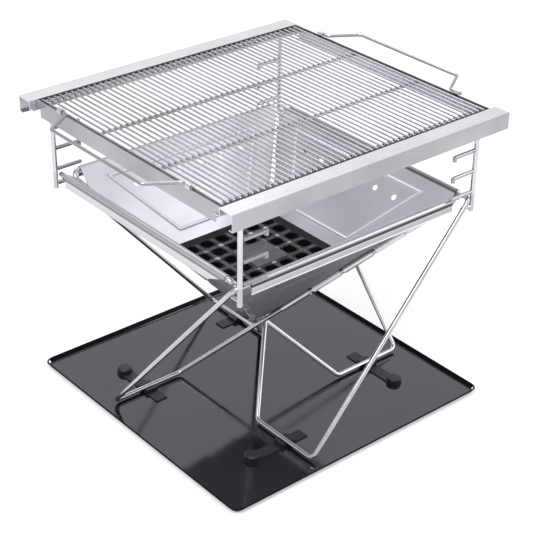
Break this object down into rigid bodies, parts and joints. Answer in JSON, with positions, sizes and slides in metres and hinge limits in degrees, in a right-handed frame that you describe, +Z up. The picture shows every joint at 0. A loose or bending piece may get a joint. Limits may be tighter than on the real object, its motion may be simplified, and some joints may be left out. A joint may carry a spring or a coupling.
{
  "type": "folding fire pit",
  "caption": "Folding wire-framed fire pit with hinged steel panels on a black tray, a cast coal grate, a grill stand and a lift-off grill net with wire handles.",
  "frame": {"origin": "on the ground under the pit's upright axis, at the middle of the tray's underside", "axes": "+Z up, +X along the rails of the grill stand, +Y along the wires of the grill net"},
  "size_m": [0.472, 0.396, 0.3878],
  "materials": {
    "enamel": "gloss",
    "black_clip": "satin",
    "button": "matte",
    "wire": "polished",
    "sheet": "satin",
    "iron": "matte",
    "net": "satin"
  },
  "bodies": {
    "tray": {"tray_pan": "enamel", "foot_clips": "black_clip", "clip_buttons": "button"},
    "pit_front": {"frame_front": "wire", "panel_front": "sheet"},
    "pit_left": {"frame_left": "wire", "panel_left": "sheet"},
    "pit_right": {"frame_right": "wire", "panel_right": "sheet"},
    "pit_back": {"frame_back": "wire", "panel_back": "sheet"},
    "coal_grate": {"coal_grate": "iron"},
    "grill_stand": {"posts_front": "wire", "posts_back": "wire", "pegs_front": "wire", "pegs_back": "wire", "rail_front": "sheet", "rail_back": "sheet"},
    "grill_net": {"net_wires": "net", "net_bars": "net", "net_border": "net", "strip_left": "sheet", "strip_right": "sheet", "eyes_left": "wire", "eyes_right": "wire"},
    "handle_left": {"handle_left": "wire"},
    "handle_right": {"handle_right": "wire"}
  },
  "joints": [
    {"name": "fold", "type": "hinge", "parent": "pit_front", "child": "pit_left", "pos_m": [0, 0.01, 0.08165], "axis": [-0.5479, -0.5544, 0.6264], "range_deg": [0, 56]},
    {"name": "right_hinge", "type": "hinge", "parent": "pit_front", "child": "pit_right", "pos_m": [-0.01, 0, 0.08165], "axis": [0.5544, -0.5479, 0.6264], "range_deg": [0, 62]},
    {"name": "left_hinge", "type": "hinge", "parent": "pit_left", "child": "pit_back", "pos_m": [0.01, 0, 0.08165], "axis": [0.5544, -0.5479, -0.6264], "range_deg": [0, 62]},
    {"name": "pit_lift", "type": "slide", "parent": "tray", "child": "pit_front", "axis": [0, 0, 1], "range_m": [0, 0.45]},
    {"name": "grate_lift", "type": "slide", "parent": "pit_front", "child": "coal_grate", "axis": [0, 0, 1], "range_m": [0, 0.395]},
    {"name": "stand_lift", "type": "slide", "parent": "pit_front", "child": "grill_stand", "axis": [0, 0, 1], "range_m": [0, 0.395]},
    {"name": "net_lift", "type": "slide", "parent": "grill_stand", "child": "grill_net", "axis": [0, 0, 1], "range_m": [0, 0.15]},
    {"name": "handle_left_fold", "type": "hinge", "parent": "grill_net", "child": "handle_left", "pos_m": [-0.198, 0, 0.38425], "axis": [0, 1, 0], "range_deg": [0, 180]},
    {"name": "handle_right_fold", "type": "hinge", "parent": "grill_net", "child": "handle_right", "pos_m": [0.198, 0, 0.38425], "axis": [0, -1, 0], "range_deg": [0, 180]}
  ],
  "couplings": [
    {"joint": "right_hinge", "follows": "fold", "ratio": 1.1},
    {"joint": "left_hinge", "follows": "fold", "ratio": 1.1},
    {"joint": "pit_lift", "follows": "fold", "m_per_rad": 0.45837},
    {"joint": "grate_lift", "follows": "fold", "m_per_rad": 0.40107},
    {"joint": "stand_lift", "follows": "fold", "m_per_rad": 0.40107}
  ]
}
